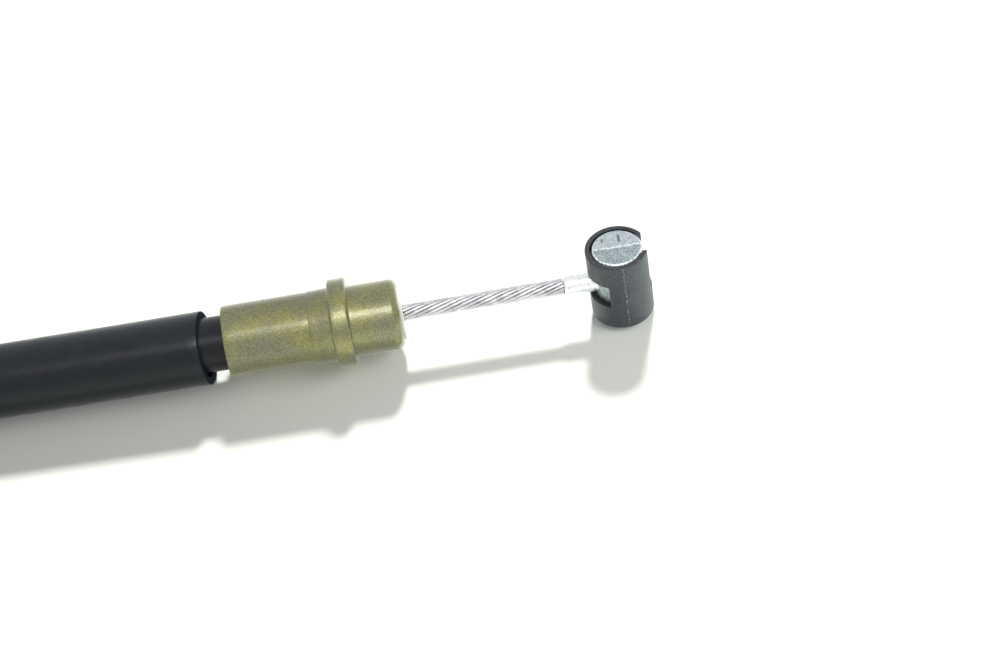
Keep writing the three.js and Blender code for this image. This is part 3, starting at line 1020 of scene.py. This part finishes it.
def slot_cutter(centre, radii, heights, start_degrees, end_degrees, material):
    """A stretch of a square-cut ring about an upright axis, which cuts a slot."""
    steps = 64
    (inner, outer), (low, high) = radii, heights
    made = bmesh.new()
    rings = []
    for i in range(steps + 1):
        angle = math.radians(start_degrees + (end_degrees - start_degrees) * i / steps)
        rings.append([
            made.verts.new((centre[0] + r * math.cos(angle), r * math.sin(angle), centre[2] + z))
            for r, z in ((inner, low), (outer, low), (outer, high), (inner, high))
        ])
    bridged(made, rings)
    bmesh.ops.recalc_face_normals(made, faces=made.faces)
    return piece("slot", made, material)


class CABLE_OT_bush(bpy.types.Operator):
    """Moulds the split bush round the lever nipple"""

    bl_idname = "cable.bush"
    bl_label = "Bush"

    def execute(self, context):
        colours = kit()[1]
        low, high = box_mm("nipple_bush")
        x, _, z = middle(low, high)
        centre = (x, 0, z)
        outer, half = (high[0] - low[0]) / 2, (high[2] - low[2]) / 2
        inner, edge, mouth = 4.25, 0.12, 0.08
        slot_half, slot_top, slot_start, slot_end = 2.0, 2.3, 6, 244.5
        slot_depth, overshoot, notch_width = 2, 1, 4.1
        # The mould parts along two lines on opposite sides, each a fine ridge
        partings = (math.radians(-85), math.radians(95))
        ridge_height, ridge_half = 0.05, math.radians(0.8)
        outside = outer - 0.3

        def with_parting_line(along, radius, angle):
            if radius < outside:
                return radius
            off = min(abs((angle - line + math.pi) % (2 * math.pi) - math.pi) for line in partings)
            return radius + (ridge_height if off < ridge_half else 0.0)

        profile = [
            (-half + mouth, inner),
            (-half, inner + mouth),
            *arc((-half + edge, outer - edge), edge, 180, 90, 3),
            *stations(-half, half, outer, 16)[1:],
            *arc((half - edge, outer - edge), edge, 90, 0, 3),
            (half, inner + mouth),
            (half - mouth, inner),
        ]
        made = revolved(profile, 240, along_z(centre, with_parting_line))
        for face in made.faces:
            reach = max((v.co.xy - Vector(centre).xy).length for v in face.verts)
            face.material_index = int(reach > outer + ridge_height / 2)
        # The bush's upward faces get a painted shade at half their colour
        nylon = moulded_nylon(
            "nylon_black_moulded", colours.bush, up_faces_painted_shade=0.5, scuff_hex="#6E777D", scuff_from=0.6
        )
        bush = piece("bush", made, nylon)
        # The flash of the mould's parting line is torn, so it is lighter and broken
        bush.data.materials.append(
            moulded_nylon("nylon_black_flash_torn", colours.bush, scuff_hex="#969EA3", scuff_from=0.53)
        )

        # The slot lets the wire swing, and the notch where it starts lets the wire in from above
        radii, heights = (outer - slot_depth, outer + overshoot), (-slot_half, slot_top)
        slot = slot_cutter(centre, radii, heights, slot_start, slot_end, nylon)
        combined(bush, slot, "DIFFERENCE")
        notch_height = slot_half + 2 * half
        turn = math.radians(slot_start)
        notch_centre = (
            x + outer * math.cos(turn),
            outer * math.sin(turn),
            z + notch_height / 2 - slot_half,
        )
        notch = block("notch", notch_centre, (2 * outer, notch_width, notch_height), nylon, turn)
        combined(bush, notch, "DIFFERENCE")
        rounded(bush, 0.07, 40)
        dress(bush, "bush", "black_nylon", "nipple_bush")
        return {"FINISHED"}


# Ties


class CABLE_OT_ties(bpy.types.Operator):
    """Closes the nylon ties round the coil"""

    bl_idname = "cable.ties"
    bl_label = "Coil ties"

    def execute(self, context):
        nylon = moulded_nylon("nylon_tie_moulded", kit()[1].tie, rough=(0.42, 0.55))
        for number in (1, 2, 3):
            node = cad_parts[f"coil_tie_{number}"]
            made = bmesh.new()
            made.from_mesh(node.data)
            bmesh.ops.scale(made, vec=(1 / MM, 1 / MM, 1 / MM), verts=made.verts)
            bmesh.ops.remove_doubles(made, verts=made.verts, dist=WELD)
            bmesh.ops.dissolve_limit(
                made, angle_limit=math.radians(1), verts=made.verts, edges=made.edges
            )
            tie = piece(f"tie_{number}", made, nylon, sharp_degrees=30)
            rounded(tie, 0.18, 30)
            dress(tie, "outer_cable", "tie_nylon", f"coil_tie_{number}")
        return {"FINISHED"}


# Stage


class CABLE_OT_stage(bpy.types.Operator):
    """Sets the white table, the soft lights and the surroundings"""

    bl_idname = "cable.stage"
    bl_label = "Stage"

    def execute(self, context):
        half = 3.0
        corners = [(-half, -half, 0), (half, -half, 0), (half, half, 0), (-half, half, 0)]
        mesh = bpy.data.meshes.new("table")
        mesh.from_pydata(corners, [], [(0, 1, 2, 3)])
        table = bpy.data.objects.new("table", mesh)
        table.location.z = -0.2 * MM
        context.scene.collection.objects.link(table)
        # Uncoated paper scatters light evenly, so the shadow on it is soft and has no sheen
        material, tree = new_material("paper_white_uncoated")
        paper = add(tree, "BsdfDiffuse", {"Color": [*linear("#E6EAE1"), 1.0]})
        glow = seen_strength(tree, 0.0, TABLE_GLOW, TABLE_REFLECTED_GLOW)
        light = add(tree, "Emission", {"Color": WHITE, "Strength": glow})
        both = add(tree, "AddShader", {0: paper, 1: light})
        add(tree, "OutputMaterial", {"Surface": both})
        mesh.materials.append(material)

        world = bpy.data.worlds.new("studio")
        world.use_nodes = True
        world.node_tree.nodes.clear()
        tree = world.node_tree
        sky = add(tree, "Background", {"Color": WHITE, "Strength": seen_strength(tree, SKY_LIGHT, 1.0, 1.0)})
        add(tree, "OutputWorld", {"Surface": sky})
        context.scene.world = world

        # The sun stands behind the cable and to the right, and throws the shadow forwards
        sun = bpy.data.lights.new("sun", "SUN")
        sun.energy = 4.3
        sun.angle = math.radians(8.0)
        self.placed(context, sun, Vector((0.23, 1.0, 0.97))).visible_glossy = False

        # The soft box over the front makes the highlight just above the middle of each round piece
        box = self.square_lamp("soft box", 0.2, 2.05)
        self.placed(context, box, Vector((0.02, -0.40, 0.82))).visible_diffuse = False

        # The small lamp at the right lightens the shadow of the bush and rope more than the sleeve's
        fill = self.square_lamp("fill", 0.15, 0.28)
        self.placed(context, fill, Vector((0.17, -0.07, 0.12))).visible_glossy = False
        return {"FINISHED"}

    @staticmethod
    def square_lamp(name, size, energy):
        """A square area light."""
        lamp = bpy.data.lights.new(name, "AREA")
        lamp.shape = "SQUARE"
        lamp.size = size
        lamp.energy = energy
        return lamp

    @staticmethod
    def placed(context, data, place):
        """Puts a light at a place, pointing at the cable."""
        light = bpy.data.objects.new(data.name, data)
        facing = (-place).to_track_quat("-Z", "Y").to_matrix().to_4x4()
        light.matrix_world = Matrix.Translation(place) @ facing
        context.scene.collection.objects.link(light)
        return light


# Panel and registration

OPERATORS = (
    CABLE_OT_camera,
    CABLE_OT_sleeve,
    CABLE_OT_ties,
    CABLE_OT_lever_ferrule,
    CABLE_OT_engine_ferrule,
    CABLE_OT_inner_wire,
    CABLE_OT_nipples,
    CABLE_OT_bush,
    CABLE_OT_conduit,
    CABLE_OT_stage,
)


class CABLE_PT_panel(bpy.types.Panel):
    """Lists the cable's operators, sizes and colours"""

    bl_idname = "CABLE_PT_panel"
    bl_label = "Clutch Cable"
    bl_space_type = "VIEW_3D"
    bl_region_type = "UI"
    bl_category = "Cable"

    def draw(self, context):
        for operator in OPERATORS:
            self.layout.operator(operator.bl_idname)
        for group in kit():
            for key in group.bl_rna.properties.keys():
                if key not in ("rna_type", "name"):
                    self.layout.prop(group, key)


CLASSES = (CableSizes, CableColours, *OPERATORS, CABLE_PT_panel)


def register():
    for cls in CLASSES:
        bpy.utils.register_class(cls)
    bpy.types.Scene.cable_sizes = bpy.props.PointerProperty(type=CableSizes)
    bpy.types.Scene.cable_colours = bpy.props.PointerProperty(type=CableColours)


def unregister():
    del bpy.types.Scene.cable_colours
    del bpy.types.Scene.cable_sizes
    for cls in reversed(CLASSES):
        bpy.utils.unregister_class(cls)


def main():
    register()
    for operator in OPERATORS:
        group, name = operator.bl_idname.split(".")
        getattr(getattr(bpy.ops, group), name)()


if __name__ == "__main__":
    main()
